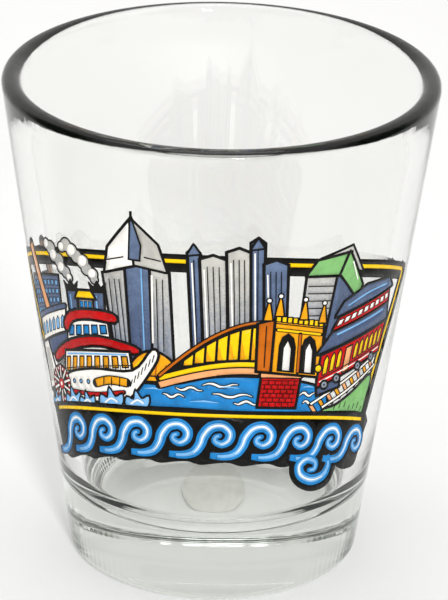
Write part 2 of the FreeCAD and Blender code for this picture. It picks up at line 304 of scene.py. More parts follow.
def latheTree():
    # a profile mesh, whose x is radius and z is height, turned about Z with marks pressed round its foot
    tree = bpy.data.node_groups.new("turnedGlass", "GeometryNodeTree")
    entry, leave = addInputs(tree, [("Segments", "NodeSocketInt"), ("Profile Points", "NodeSocketInt"),
                                    ("Marks", "NodeSocketInt"), ("Mark Depth", "NodeSocketFloat"),
                                    ("Mark Height", "NodeSocketFloat"), ("Mark Radius", "NodeSocketFloat"),
                                    ("Material", "NodeSocketMaterial")])
    make = nodeMaker(tree)
    value = entry.outputs

    def maths(operation, first, second=0.0):
        return make("ShaderNodeMath", {"operation": operation}, {0: first, 1: second}).outputs[0]

    across = maths("ADD", value["Segments"], 1.0)
    grid = make("GeometryNodeMeshGrid", {}, {"Vertices X": across, "Vertices Y": value["Profile Points"]})
    index = make("GeometryNodeInputIndex").outputs[0]
    column = maths("FLOOR", maths("DIVIDE", maths("ADD", index, 0.5), value["Profile Points"]))
    row = maths("SUBTRACT", index, maths("MULTIPLY", column, value["Profile Points"]))
    angle = maths("MULTIPLY", maths("DIVIDE", column, value["Segments"]), math.tau)
    position = make("GeometryNodeInputPosition").outputs[0]
    sample = make("GeometryNodeSampleIndex", {"data_type": "FLOAT_VECTOR", "domain": "POINT"},
                  {"Geometry": value["Geometry"], "Value": position, "Index": row})
    parts = make("ShaderNodeSeparateXYZ", {}, {0: sample.outputs["Value"]}).outputs
    # marks: pressed in near the foot, fading up and inwards
    wave = maths("MULTIPLY", maths("SINE", maths("MULTIPLY", angle, value["Marks"])), value["Mark Depth"])
    low = maths("SUBTRACT", 1.0, maths("MINIMUM", maths("DIVIDE", parts["Z"], value["Mark Height"]), 1.0))
    outer = maths("GREATER_THAN", parts["X"], value["Mark Radius"])
    press = maths("MULTIPLY", maths("MULTIPLY", wave, low), outer)
    radius = maths("SUBTRACT", parts["X"], maths("ABSOLUTE", press))
    spot = make("ShaderNodeCombineXYZ", {}, {"X": maths("MULTIPLY", radius, maths("COSINE", angle)),
                                            "Y": maths("MULTIPLY", radius, maths("SINE", angle)),
                                            "Z": parts["Z"]})
    turned = make("GeometryNodeSetPosition", {},
                  {"Geometry": grid.outputs["Mesh"], "Position": spot.outputs[0]})
    merged = make("GeometryNodeMergeByDistance", {}, {"Geometry": turned.outputs[0], "Distance": 2e-6})
    smooth = make("GeometryNodeSetShadeSmooth", {}, {"Geometry": merged.outputs[0]})
    realized = make("GeometryNodeRealizeInstances", {}, {"Geometry": smooth.outputs[0]})
    coloured = make("GeometryNodeSetMaterial", {},
                    {"Geometry": realized.outputs[0], "Material": value["Material"]})
    tree.links.new(coloured.outputs[0], leave.inputs[0])
    return tree


def outwards(mesh):
    shape = bmesh.new()
    shape.from_mesh(mesh)
    bmesh.ops.recalc_face_normals(shape, faces=shape.faces)
    shape.to_mesh(mesh)
    shape.free()


def newPiece(name, mesh):
    piece = bpy.data.objects.new(name, mesh)
    scene.collection.objects.link(piece)
    return piece


def glassMaterial(values):
    shader = Shader("pressedGlass")
    smears = shader.noise(90.0, 4.0, (1, 1, 0.35))
    height = shader.node("ShaderNodeSeparateXYZ", {}, {"Vector": shader.place}, "Z")
    nearRim = shader.ramp(height * (1 / (glassHeight * mm)), [(0.955, (0.0,) * 3), (0.985, (1.0,) * 3)])
    ripple = shader.noise(55.0, 2.0, (1, 1, 0.25)) + shader.noise(260.0, 2.0) * 0.12
    ripple = ripple + shader.noise(420.0, 3.0, (1, 1, 0.2)) * nearRim * values["rimWaves"]
    body = shader.node("ShaderNodeVolumeAbsorption", {},
                       {"Color": values["clarity"], "Density": values["absorption"]})
    shader.feed(shader.output.inputs["Volume"], body)
    shader.passLamps(values["lampTint"], [(0.5, (1.0,) * 3), (0.9, (0.0,) * 3)])
    # the base colour is partly the glass's own tint and partly painted shade over what shows through it
    return shader.finish(Base_Color=values["tintWithPaintedShade"],
                         Roughness=shader.ramp(smears, [(0.35, (0.0,) * 3), (0.8, (0.03,) * 3)]),
                         IOR=values["refraction"], Transmission_Weight=1.0,
                         Normal=shader.bump(ripple, values["rippleDepth"], values["rippleStrength"]))


def makeGlass(values):
    profile = glassProfile(values)
    mesh = bpy.data.meshes.new("profile")
    mesh.from_pydata([(x * mm, 0, z * mm) for x, z in profile], [(n, n + 1) for n in range(len(profile) - 1)],
                     [])
    glass = newPiece("glass_wall_and_base", mesh)
    bakeNodes(glass, latheTree(), {
        "Segments": values["segments"], "Profile Points": len(profile), "Marks": values["stippleMarks"] // 2,
        "Mark Depth": values["stippleDepth"] * mm, "Mark Height": values["stippleHeight"] * mm,
        "Mark Radius": (values["puntRadius"] + 0.2) * mm, "Material": glassMaterial(values)})
    outwards(glass.data)
    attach(glass, "root")
    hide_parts("glass_body")
    print("glass turned:", len(glass.data.polygons), "faces")


makeGlass(glassValues)


printValues = {
    "width": 60.0,           # millimetres along the wall
    "height": 36.0,          # up the wall
    "sheetWidth": 60.6,      # the drawing's own units
    "sheetHeight": 35.5,
    "rimGap": 7.5,           # rim to the highest ink
    "turn": -3.0,            # degrees from the front
    "arch": 0.0088,          # how fast the ends hang lower than the middle
    "keyline": 0.36,
    "sunk": 0.012,           # how far the inks bite into the wall
    "proud": 0.028,          # how far a colour stands out
    "keylineProud": 0.036,   # the black is printed last
    "columnWidth": 1.0,      # the mesh is divided this often round the wall
    "columnShift": 0.37,     # keeps those divisions off the drawing's own points
}

sheet = []                   # (ink, outline), back to front


def area(points):
    return sum(a[0] * b[1] - b[0] * a[1] for a, b in zip(points, points[1:] + points[:1])) / 2


def hull(points):
    # the convex outline round a few points, anticlockwise
    ordered = sorted(set(points))
    rounds = []
    for run in (ordered, ordered[::-1]):
        chain = []
        for point in run:
            while len(chain) > 1 and area([chain[-2], chain[-1], point]) <= 1e-7:
                chain.pop()
            chain.append(point)
        rounds += chain[:-1]
    return rounds


def addShape(ink, points):
    # a shape too thin to print is left out
    if len(points) > 2 and area(points) > 1e-4:
        sheet.append((ink, points))


def lay(ink, points, keyline=None):
    # one shape of ink, with a black line round it
    points = [tuple(point) for point in points]
    if len(points) == 4:
        points = hull(points)
    if area(points) < 0:
        points.reverse()
    width = printValues["keyline"] if keyline is None else keyline
    if width > 0:
        layEdge(points, width)
    addShape(ink, points)


def layEdge(points, width):
    # the black line: a band outside every edge and a wedge at every outward corner
    count = len(points)
    outs = []
    for number, start in enumerate(points):
        end = points[(number + 1) % count]
        length = max(math.dist(start, end), 1e-6)
        outs.append(((end[1] - start[1]) / length * width, (start[0] - end[0]) / length * width))
    for number, start in enumerate(points):
        end = points[(number + 1) % count]
        out = outs[number]
        addShape("black", [start, (start[0] + out[0], start[1] + out[1]), (end[0] + out[0], end[1] + out[1]),
                           end])
        last = outs[number - 1]
        if last[0] * out[1] - last[1] * out[0] > 1e-4 * width * width:
            middle = ((last[0] + out[0]) / 2, (last[1] + out[1]) / 2)
            size = max(math.hypot(*middle), 0.35 * width)
            reach = min(width * width / size, 1.5 * width) / max(math.hypot(*middle), 1e-6)
            addShape("black", hull([start, (start[0] + last[0], start[1] + last[1]),
                                    (start[0] + middle[0] * reach, start[1] + middle[1] * reach),
                                    (start[0] + out[0], start[1] + out[1])]))


def smooth(points, closed=False, steps=5):
    # a curve through the points
    count = len(points)
    result = []
    for number in range(count if closed else count - 1):
        if closed:
            a, b, c, d = (points[(number + shift) % count] for shift in (-1, 0, 1, 2))
        else:
            a, b, c, d = (points[min(max(number + shift, 0), count - 1)] for shift in (-1, 0, 1, 2))
        for step in range(steps):
            t = step / steps
            result.append(tuple(0.5 * (2 * b[k] + (c[k] - a[k]) * t
                                       + (2 * a[k] - 5 * b[k] + 4 * c[k] - d[k]) * t * t
                                       + (3 * b[k] - a[k] - 3 * c[k] + d[k]) * t ** 3) for k in (0, 1)))
    return result if closed else result + [tuple(points[-1])]


def ribbon(points, widths):
    # the two edges of a line whose width runs through widths
    left = []
    right = []
    last = len(points) - 1
    for number, (x, y) in enumerate(points):
        before = points[max(number - 1, 0)]
        after = points[min(number + 1, last)]
        run = max(math.dist(before, after), 1e-6)
        spot = number / last * (len(widths) - 1)
        low = min(int(spot), len(widths) - 2)
        half = (widths[low] + (widths[low + 1] - widths[low]) * (spot - low)) / 2
        across = ((before[1] - after[1]) / run * half, (after[0] - before[0]) / run * half)
        left.append((x + across[0], y + across[1]))
        right.append((x - across[0], y - across[1]))
    return left, right


def stroke(ink, points, width, keyline=0.0, taper=None):
    # a line of ink, laid as short bands so that it may curl
    left, right = ribbon(points, taper or [width, width])
    if keyline > 0:
        wide = [w + 2 * keyline for w in (taper or [width, width])]
        outerLeft, outerRight = ribbon(points, wide)
        for a, b in zip(range(len(points) - 1), range(1, len(points))):
            lay("black", [outerLeft[a], outerRight[a], outerRight[b], outerLeft[b]], 0)
        for end, size in ((points[0], wide[0]), (points[-1], wide[-1])):
            lay("black", disc(end[0], end[1], size / 2, 10), 0)
    for a, b in zip(range(len(points) - 1), range(1, len(points))):
        lay(ink, [left[a], right[a], right[b], left[b]], 0)


def disc(x, y, radius, sides=16, squash=1.0):
    return [(x + radius * math.cos(math.tau * k / sides),
             y + radius * squash * math.sin(math.tau * k / sides))
            for k in range(sides)]


def block(left, low, right, high, lean=0.0):
    # a block whose top edge is shifted sideways by lean
    return [(left, low), (right, low), (right + lean, high), (left + lean, high)]


def between(low, high, share):
    return (low[0] + (high[0] - low[0]) * share, low[1] + (high[1] - low[1]) * share)


def quadPoint(corners, across, up):
    # a place on a leaning panel; corners are lower left, lower right, upper right, upper left
    return between(between(corners[0], corners[1], across), between(corners[3], corners[2], across), up)


def panel(corners, left, low, right, high):
    return [quadPoint(corners, left, low), quadPoint(corners, right, low),
            quadPoint(corners, right, high), quadPoint(corners, left, high)]


def windowRow(ink, corners, count, low, high, fill=0.55, keyline=0.14, arched=False):
    # a row of windows on a leaning panel
    for number in range(count):
        left = (number + (1 - fill) / 2) / count
        right = (number + (1 + fill) / 2) / count
        outline = panel(corners, left, low, right, high)
        if arched:
            outline.insert(3, quadPoint(corners, (left + right) / 2, high + (high - low) * 0.28))
        lay(ink, outline, keyline)


def drawFrame():
    top = [(-31.0, 29.15), (-15.0, 29.0), (0.0, 29.1), (15.0, 29.0), (29.6, 29.15)]
    stroke("black", smooth(top), 2.3)
    stroke("black", smooth([(28.9, 30.2), (27.6, 25.4), (25.7, 19.0), (23.2, 8.4)]), 2.0)
    stroke("black", smooth([(-30.4, 30.2), (-28.9, 25.4), (-27.0, 19.0), (-24.2, 9.0)]), 2.0)
    stroke("yellow", smooth([(x, y + 0.25) for x, y in top[:-1]] + [(28.4, 29.4)]), 0.5)
    stroke("yellow", smooth([(28.5, 29.3), (27.3, 25.2), (25.4, 19.0), (23.0, 9.4)]), 0.5)
    stroke("yellow", smooth([(-29.9, 29.3), (-28.5, 25.2), (-26.7, 19.0), (-24.0, 10.0)]), 0.5)


def drawTowers():
    # a stepped stone tower with a pointed cap
    lay("light_grey", [(-11.0, 16.5), (-11.9, 27.2), (-8.4, 28.0), (-8.2, 16.5)])
    lay("light_grey", [(-6.6, 16.5), (-6.4, 28.2), (-4.2, 27.6), (-3.9, 16.5)])
    lay("slate", [(-8.9, 16.5), (-9.0, 28.6), (-7.8, 30.4), (-6.4, 28.8), (-6.5, 16.5)])
    for x in (-10.9, -10.2, -9.6):
        stroke("black", [(x, 17.5), (x - 0.35, 26.6)], 0.12)
    for x in (-5.6, -4.9):
        stroke("black", [(x, 17.5), (x + 0.1, 26.9)], 0.12)
    stroke("pale_blue", [(-7.3, 17.6), (-7.2, 28.4)], 0.16)
    stroke("white", [(-6.2, 18.6), (-6.0, 27.4)], 0.22)
    lay("white", [(-11.6, 27.6), (-11.0, 30.6), (-8.1, 34.2), (-7.9, 28.6)])
    lay("light_grey", [(-7.9, 28.6), (-8.1, 34.2), (-5.3, 31.2), (-4.4, 27.9)], 0.3)
    lay("slate", [(-8.5, 29.3), (-8.1, 34.4), (-7.2, 31.0), (-7.4, 29.2)], 0.2)
    stroke("black", [(-8.1, 34.0), (-8.05, 35.3)], 0.3)
    stroke("black", [(-11.3, 29.0), (-9.2, 29.5)], 0.16)
    stroke("black", [(-6.8, 29.6), (-4.9, 29.2)], 0.16)
    # a cluster of fluted slabs
    slabs = [("slate", -1.9, -0.9, 30.4, 15.8), ("light_grey", -0.6, 1.9, 29.6, 17.0),
             ("light_grey", 2.2, 4.5, 30.6, 18.6),
             ("slate", 4.7, 5.9, 31.9, 19.8), ("slate", 6.2, 8.6, 29.2, 20.6)]
    for ink, left, right, high, low in slabs:
        lay(ink, [(left + 0.5, low), (right + 0.4, low), (right, high), ((left + right) / 2, high + 0.5),
                  (left, high)])
        flutes = max(2, int((right - left) / 0.55))
        for number in range(1, flutes):
            x = left + (right - left) * number / flutes
            stroke("black", [(x + 0.45, low + 0.5), (x, high - 0.8)], 0.11)
        stroke("white", [(left + 0.75, low + 1.4), (left + 0.3, high - 1.2)], 0.16)
    for x, high in ((-1.4, 31.4), (5.3, 32.4)):
        lay("slate", [(x - 0.6, high - 1.2), (x, high), (x + 0.6, high - 1.0)], 0.25)
    # a slant-topped tower with a green cap
    lay("light_grey", [(10.9, 20.0), (11.2, 28.4), (15.2, 28.6), (14.4, 20.0)])
    lay("slate", [(14.4, 20.0), (15.2, 28.8), (18.6, 25.4), (17.2, 19.4)])
    lay("light_grey", [(12.6, 30.0), (16.6, 31.8), (18.6, 28.8), (16.9, 29.6)], 0.3)
    lay("green", [(11.2, 28.0), (12.3, 29.8), (16.4, 30.9), (15.5, 28.2)])
    lay("green", [(15.5, 28.2), (16.4, 30.9), (18.9, 27.0), (18.4, 25.3)])
    for number in range(7):
        y = 20.9 + number * 0.95
        stroke("black", [(11.3, y), (14.4 + number * 0.09, y + 0.1)], 0.13)
    stroke("white", [(17.0, 29.9), (18.1, 27.6)], 0.18)
    # a tall block with rows of windows, at the left
    tall = [(-26.6, 20.0), (-19.8, 20.4), (-19.6, 26.4), (-27.0, 26.6)]
    lay("slate", tall)
    for row in range(5):
        windowRow("pale_blue", tall, 8, 0.1 + 0.18 * row, 0.19 + 0.18 * row, 0.5, 0.08)
    stroke("tan", [(-25.9, 30.6), (-24.6, 26.6), (-23.0, 22.2)], 1.0, 0.3)
    stroke("white", [(-25.9, 30.0), (-24.8, 26.8)], 0.2)


def drawRiver():
    lay("blue", smooth([(-9.0, 10.6), (-9.2, 13.0), (-4.0, 13.2), (1.0, 14.4), (6.0, 14.6), (11.0, 14.2),
                        (15.2, 13.0), (14.8, 10.4), (6.0, 10.2), (-2.0, 10.4)], True, 4))
    for x, y, length in ((-3.6, 12.9, 3.2), (-0.4, 13.5, 4.2), (0.8, 12.2, 4.8), (-5.2, 11.9, 2.6),
                         (11.6, 12.6, 2.2), (3.4, 11.3, 3.0), (12.2, 11.5, 2.0)):
        wave = [(x + length * k / 6, y + 0.22 * math.sin(k * 1.5 + x)) for k in range(7)]
        stroke("white", smooth(wave, steps=3), 0.2, 0.12, [0.06, 0.3, 0.24, 0.06])
    for x, y, length in ((-7.6, 12.6, 2.4), (-2.0, 11.2, 3.6), (1.6, 13.2, 2.4), (12.0, 13.5, 1.6)):
        stroke("pale_blue", [(x, y), (x + length / 2, y + 0.14), (x + length, y)], 0.2, 0.0,
               [0.05, 0.26, 0.05])


def drawHall():
    # a low domed hall beside the bridge
    dome = smooth([(-9.4, 13.6), (-9.2, 15.4), (-7.6, 17.1), (-5.6, 17.3), (-3.9, 16.0), (-2.9, 13.8)],
                  steps=4)
    lay("amber", dome)
    for number in range(5):
        x = -8.4 + number * 1.15
        stroke("brown", [(x, 14.0), (x + 0.25, 16.4 - abs(number - 1.8) * 0.45)], 0.2)
    stroke("yellow", smooth([(-8.7, 15.4), (-7.2, 16.7), (-5.6, 16.8)]), 0.24)
    stroke("black", [(-9.2, 14.3), (-3.2, 14.3)], 0.18)


def chordHeight(x):
    # the bridge's upper arch, and half of it is its lower edge
    return 14.1 + 7.5 * math.sin(math.radians(min(90.0, (x + 5.6) * 7.2)))


def deckHeight(x):
    return 13.7 + 2.3 * math.sin(math.radians((x + 5.6) * 8.6))


def drawBridge():
    # an arch of yellow panels between black bars, over a yellow deck and a course of stone
    along = [-5.6 + 0.62 * number for number in range(21)]
    underside = [(x, deckHeight(x) - 0.1) for x in along]
    lay("black", underside + [(x, chordHeight(x) + 0.1) for x in reversed(along)])
    for number in range(9):
        left = -3.9 + 1.3 * number
        right = left + 1.0
        low = max(deckHeight(left), deckHeight(right)) + 0.95
        high = chordHeight(left) - 0.35
        if high - low > 0.3:
            panelTop = [(right + 0.1, chordHeight(right) - 0.35), (left + 0.1, high)]
            lay("yellow", [(left, low), (right, low + 0.1)] + panelTop, 0)
            lay("amber", [(left, low), (left + 0.62, low + 0.06), (left + 0.1, low + (high - low) * 0.7)], 0)
    stroke("yellow", [(x, deckHeight(x) + 0.35) for x in along], 0.62, 0.16)
    stroke("brown", [(x, chordHeight(x) + 0.3) for x in along], 0.3, 0.16)
    stroke("tan", [(x, deckHeight(x) - 0.5) for x in along], 0.75, 0.18)
    lay("red", [(6.4, 10.9), (6.7, 14.9), (11.4, 14.9), (11.1, 10.9)])
    bricks = [(6.4, 10.9), (11.1, 10.9), (11.4, 14.9), (6.7, 14.9)]
    for row in range(6):
        y = (row + 1) / 7
        stroke("black", [quadPoint(bricks, 0.02, y), quadPoint(bricks, 0.98, y)], 0.09)
        for column in range(5):
            x = (column + 0.5 + 0.5 * (row % 2)) / 5.6
            stroke("black", [quadPoint(bricks, x, y), quadPoint(bricks, x, y - 1 / 7)], 0.09)
    stroke("tan", [(6.5, 15.0), (11.6, 15.0)], 0.5, 0.16)


def drawGatehouse():
    lay("brown", [(6.0, 15.6), (5.9, 21.6), (7.9, 22.2), (7.8, 15.5)])
    front = [(7.8, 15.5), (14.2, 15.0), (13.8, 21.6), (7.9, 22.2)]
    lay("amber", front)
    stroke("black", [(6.8, 16.0), (6.75, 21.4)], 0.14)
    for left in (0.1, 0.56):
        arch = panel(front, left, 0.03, left + 0.32, 0.52)
        arch[3:3] = [quadPoint(front, left + 0.27, 0.68), quadPoint(front, left + 0.16, 0.76),
                     quadPoint(front, left + 0.05, 0.68)]
        lay("black", arch, 0.1)
        light = panel(front, left + 0.09, 0.05, left + 0.23, 0.48)
        light.insert(3, quadPoint(front, left + 0.16, 0.62))
        lay("white", light, 0)
    stroke("yellow", [quadPoint(front, 0.03, 0.82), quadPoint(front, 0.97, 0.82)], 0.3, 0.1)
    stroke("brown", [quadPoint(front, 0.51, 0.03), quadPoint(front, 0.51, 0.78)], 0.3, 0.1)
    for number in range(9):
        spot = quadPoint(front, 0.04 + number * 0.115, 1.0)
        lay("yellow", block(spot[0] - 0.22, spot[1] - 0.1, spot[0] + 0.22, spot[1] + 0.5), 0.14)
    for x, y in ((6.9, 22.2), (8.2, 22.8), (11.2, 22.4), (13.7, 22.0)):
        lay("amber", [(x - 0.45, y), (x + 0.45, y), (x + 0.32, y + 0.8), (x, y + 2.4), (x - 0.32, y + 0.8)],
            0.2)
        lay("white", disc(x, y + 2.5, 0.24, 8), 0.16)
    stroke("black", [quadPoint(front, 0.0, 0.94), quadPoint(front, 1.0, 0.94)], 0.14)


def drawRailcar():
    lay("green", smooth([(15.4, 10.4), (17.6, 11.2), (20.4, 13.0), (23.9, 15.4), (23.6, 12.2), (22.8, 10.0),
                         (19.0, 9.9)], True, 4))
    for number in range(7):
        x = 17.2 + number * 0.92
        stroke("black", [(x, 10.6 + 0.2 * (number % 3)), (x + 0.2, 11.3 + 0.25 * (number % 3))], 0.12)
    for number in range(9):
        x = 13.8 + number * 1.22
        y = 10.6 + number * 0.75
        stroke("amber" if number % 2 else "tan", [(x - 0.4, y + 0.55), (x + 0.45, y - 0.45)], 0.42, 0.16)
    stroke("white", smooth([(13.4, 11.3), (18.0, 14.2), (24.6, 18.4)]), 0.26, 0.14)
    stroke("white", smooth([(15.2, 10.9), (19.4, 13.4), (24.6, 16.9)]), 0.26, 0.14)
    lay("slate", [(14.2, 12.6), (14.0, 14.4), (17.2, 15.6), (17.4, 13.8)])
    side = [(14.0, 13.6), (24.9, 18.8), (25.3, 22.4), (14.2, 17.6)]
    lay("red", side)
    windowRow("yellow", panel(side, 0.03, 0, 0.3, 1), 3, 0.34, 0.78, 0.5, 0.16, True)
    windowRow("yellow", panel(side, 0.46, 0, 0.98, 1), 6, 0.36, 0.76, 0.5, 0.16, True)
    lay("tan", panel(side, 0.345, 0.06, 0.425, 0.86), 0.18)
    stroke("black", [quadPoint(side, 0.02, 0.24), quadPoint(side, 0.98, 0.24)], 0.14)
    stroke("white", [quadPoint(side, 0.02, 0.13), quadPoint(side, 0.98, 0.13)], 0.16)
    roof = [(13.6, 17.9), (25.7, 23.0), (25.2, 25.0), (15.6, 20.9)]
    lay("slate", roof)
    stroke("pale_blue", [quadPoint(roof, 0.1, 0.7), quadPoint(roof, 0.9, 0.72)], 0.24)
    upper = [(15.4, 21.0), (25.2, 25.2), (25.0, 26.6), (16.2, 22.6)]
    lay("red", upper)
    windowRow("white", upper, 9, 0.3, 0.74, 0.6, 0.1)
    lay("slate", [(15.6, 22.8), (25.6, 27.2), (24.6, 28.0), (20.0, 26.9), (16.6, 24.6)])
    stroke("pale_blue", smooth([(17.2, 24.2), (20.4, 26.0), (24.2, 27.3)]), 0.22)
    for across in (0.1, 0.27, 0.6, 0.85):
        x, y = quadPoint(side, across, -0.06)
        lay("black", disc(x, y, 0.72, 14), 0)
        lay("light_grey", disc(x, y, 0.42, 12), 0)
        lay("black", disc(x, y, 0.14, 8), 0)
    lay("yellow", disc(13.9, 16.0, 0.42, 12), 0.2)


def drawSmoke():
    # two trails of small puffs that lean back from the stacks
    puffs = [(-17.3, 26.3, 0.5), (-17.8, 27.0, 0.7), (-18.6, 27.6, 0.75), (-18.9, 28.5, 0.85),
             (-19.9, 29.1, 0.8), (-20.3, 30.0, 0.85), (-21.2, 30.5, 0.65), (-13.3, 26.3, 0.5),
             (-13.5, 27.0, 0.7), (-14.3, 27.6, 0.75), (-14.8, 28.5, 0.85), (-15.7, 29.1, 0.8),
             (-16.4, 29.8, 0.85), (-17.3, 30.5, 0.8), (-18.1, 30.2, 0.6)]
    for x, y, size in puffs:
        lay("black", disc(x, y, size + 0.2, 18), 0)
    for x, y, size in puffs:
        lay("light_grey", disc(x, y, size, 18), 0)
    for x, y, size in puffs[::2]:
        lay("white", disc(x - 0.08, y + 0.1, size * 0.78, 14), 0)


def drawRiverboat():
    drawSmoke()
    for x in (-17.2, -13.0):
        lay("slate", [(x - 0.62, 20.8), (x + 0.62, 20.8), (x + 0.72, 24.8), (x - 0.72, 24.8)])
        stroke("pale_blue", [(x - 0.25, 21.4), (x - 0.28, 24.2)], 0.2)
        crown = [(x - 1.2, 25.9), (x - 0.9, 24.7), (x + 0.9, 24.7), (x + 1.2, 25.9), (x + 0.55, 25.3),
                 (x, 26.1), (x - 0.55, 25.3)]
        lay("black", crown, 0.1)
    # a pilot house between the stacks
    lay("white", block(-16.0, 22.2, -14.0, 23.8))
    windowRow("blue", block(-16.0, 22.2, -14.0, 23.8), 3, 0.3, 0.75, 0.6, 0.1)
    lay("yellow", [(-16.5, 23.9), (-13.6, 23.9), (-14.1, 24.7), (-16.0, 24.7)])
    # a small white house on the bank
    house = [(-26.2, 18.4), (-19.4, 19.4), (-18.9, 22.3), (-25.9, 21.2)]
    lay("white", house)
    windowRow("pale_blue", house, 6, 0.22, 0.62, 0.5, 0.12, True)
    stroke("slate", [(-26.4, 21.5), (-18.8, 22.7)], 0.55, 0.16)
    lay("slate", [(-24.6, 16.4), (-18.6, 17.6), (-19.2, 19.2), (-24.8, 18.2)])
    lay("white", [(-26.2, 12.2), (-26.6, 18.0), (-24.8, 18.2), (-22.8, 12.8)])
    for number in range(4):
        stroke("black", [(-25.9 + number * 0.5, 13.0), (-26.0 + number * 0.42, 17.4)], 0.12)
    # upper deck and its roof
    cabin = [(-19.0, 18.2), (-11.9, 18.9), (-12.1, 21.0), (-18.4, 20.8)]
    lay("white", cabin)
    windowRow("blue", cabin, 5, 0.3, 0.74, 0.56, 0.16)
    lay("red", smooth([(-19.4, 20.5), (-18.0, 21.9), (-14.6, 22.3), (-11.2, 22.0), (-11.0, 21.0),
                       (-14.6, 21.3), (-17.6, 20.9), (-18.9, 19.6)], True, 3))
    lay("red", smooth([(-22.6, 16.6), (-18.4, 18.3), (-13.4, 18.9), (-8.5, 17.9), (-8.6, 17.1), (-13.2, 17.9),
                       (-18.0, 17.3), (-22.2, 15.7)], True, 3))
    # the main deck, with posts and lit windows
    deck = [(-20.6, 13.9), (-9.2, 15.0), (-9.4, 17.1), (-19.8, 16.8)]
    lay("white", deck)
    windowRow("amber", deck, 8, 0.16, 0.74, 0.46, 0.18)
    for number in range(17):
        x = number / 16
        stroke("black", [quadPoint(deck, x, 0.0), quadPoint(deck, x, 0.22)], 0.1)
    stroke("black", [quadPoint(deck, 0, 0.24), quadPoint(deck, 1, 0.24)], 0.12)
    stroke("pale_blue", [quadPoint(deck, 0.03, 0.9), quadPoint(deck, 0.97, 0.9)], 0.24)
    boatSide = smooth([(-20.2, 11.0), (-20.4, 13.6), (-15.0, 14.6), (-9.0, 14.7), (-6.3, 17.6), (-5.9, 16.4),
                       (-8.6, 12.4), (-10.6, 11.0), (-15.0, 10.6)], True, 4)
    lay("white", boatSide)
    stroke("amber", smooth([(-14.6, 12.9), (-12.4, 13.4), (-9.9, 13.2)]), 0.95, 0.16)
    for x in (-13.4, -12.2, -11.0):
        stroke("black", [(x, 12.6), (x + 0.15, 13.8)], 0.14)
    for number in range(7):
        x = -9.4 + number * 0.5
        y = 13.2 + number * 0.56
        stroke("black", [(x, y - 0.5), (x + 0.3, y + 0.5)], 0.12)
    stroke("red", smooth([(-19.8, 11.7), (-15.0, 11.4), (-10.4, 11.9)]), 0.42, 0.12)
    for x in (-18.8, -17.4, -16.0):
        lay("black", disc(x, 13.0, 0.34, 10), 0)
        lay("pale_blue", disc(x, 13.0, 0.2, 8), 0)
    drawPaddleWheel(-22.2, 12.6, 2.35)
    drawSplash()


def drawPaddleWheel(x, y, radius):
    lay("black", disc(x, y, radius + 0.2, 24), 0)
    lay("red", disc(x, y, radius, 24), 0)
    lay("black", disc(x, y, radius * 0.74, 20), 0)
    for number in range(10):
        angle = math.tau * number / 10 + 0.2
        tip = (x + radius * 1.02 * math.cos(angle), y + radius * 1.02 * math.sin(angle))
        stroke("white", [between((x, y), tip, 0.2), tip], 0.28, 0.1)
    for number in range(10):
        angle = math.tau * (number + 0.5) / 10 + 0.2
        spot = (x + radius * 0.87 * math.cos(angle), y + radius * 0.87 * math.sin(angle))
        lay("white", disc(spot[0], spot[1], 0.2, 8), 0.06)
    lay("red", disc(x, y, radius * 0.3, 12), 0.12)
    lay("white", disc(x, y, radius * 0.12, 8), 0)


def drawSplash():
    for x, y, size in ((-24.6, 9.9, 1.5), (-19.6, 10.0, 1.7), (-16.6, 9.9, 1.4), (-12.4, 10.1, 1.8),
                       (-8.6, 10.2, 1.6)):
        foam = [(-1.0, 0.0), (-0.9, 0.7), (-0.3, 0.5), (-0.1, 1.25), (0.35, 0.6), (0.95, 0.85), (0.85, 0.1),
                (0.0, -0.3)]
        lay("pale_blue", smooth([(x + size * across, y + size * up) for across, up in foam], True, 3), 0.26)
        light = [(-0.6, 0.15), (0.0, 0.5), (0.5, 0.25)]
        stroke("white", smooth([(x + size * across, y + size * up) for across, up in light]), 0.24)


def waveCrest(x, y, pitch, rise):
    # one curl of a running wave: out from under the curl before it, up, over and round into itself
    shape = [(-0.62, 0.02), (-0.3, 0.0), (-0.02, 0.1), (0.14, 0.36), (0.22, 0.66), (0.4, 0.94), (0.66, 1.0),
             (0.84, 0.8), (0.82, 0.54), (0.66, 0.4), (0.5, 0.48), (0.5, 0.62), (0.6, 0.68)]
    return smooth([(x + pitch * across, y + rise * up) for across, up in shape], steps=5)


def drawWavePanel():
    # a dark ground with a running band of blue curls, each with a light along its back
    pitch = 5.3
    ground = [(-26.2, 10.3), (-12.0, 10.3), (0.0, 10.2), (12.0, 10.3), (24.8, 10.4), (24.6, 7.0), (24.0, 4.0)]
    for number in range(9):
        x = 23.6 - pitch * number
        ground += [(x - 1.0, 3.1), (x - 3.0, 2.8), (x - 4.6, 3.2)]
    ground += [(-25.0, 4.4), (-25.6, 6.6)]
    lay("black", smooth(ground + ground[:1], steps=3), 0)
    stroke("yellow", smooth([(-24.4, 9.5), (-6.0, 9.45), (6.0, 9.5), (23.6, 9.6)]), 0.45)
    waves = [waveCrest(-22.6 + pitch * number, 4.05, pitch, 4.1) for number in range(9)]
    eddy = [(17.3, 4.6), (17.7, 3.2), (16.9, 1.8), (15.0, 1.2), (13.2, 1.8), (12.8, 3.1), (13.9, 4.0),
            (15.3, 3.6),
            (15.3, 2.7), (14.4, 2.5)]
    waves.append(smooth(eddy, steps=5))
    stroke("black", waves[-1], 0, 0, [2.6, 3.2, 3.1, 2.9, 2.6, 2.2])
    lay("black", disc(15.2, 2.8, 2.6, 20), 0)
    widths = [0.8, 1.3, 1.5, 1.45, 1.25, 0.9, 0.65]
    for wave in waves:
        stroke("blue", wave, 0, 0.16, widths)
        lay("blue", disc(wave[-1][0], wave[-1][1], widths[-1] / 2, 10), 0)
    for wave in waves:
        stroke("blue", wave, 0, 0, widths)
        stroke("pale_blue", wave[3:-1], 0, 0, [width * 0.45 for width in widths])
        stroke("white", wave[10:-14], 0, 0, [0.08, 0.22, 0.26, 0.2, 0.08])


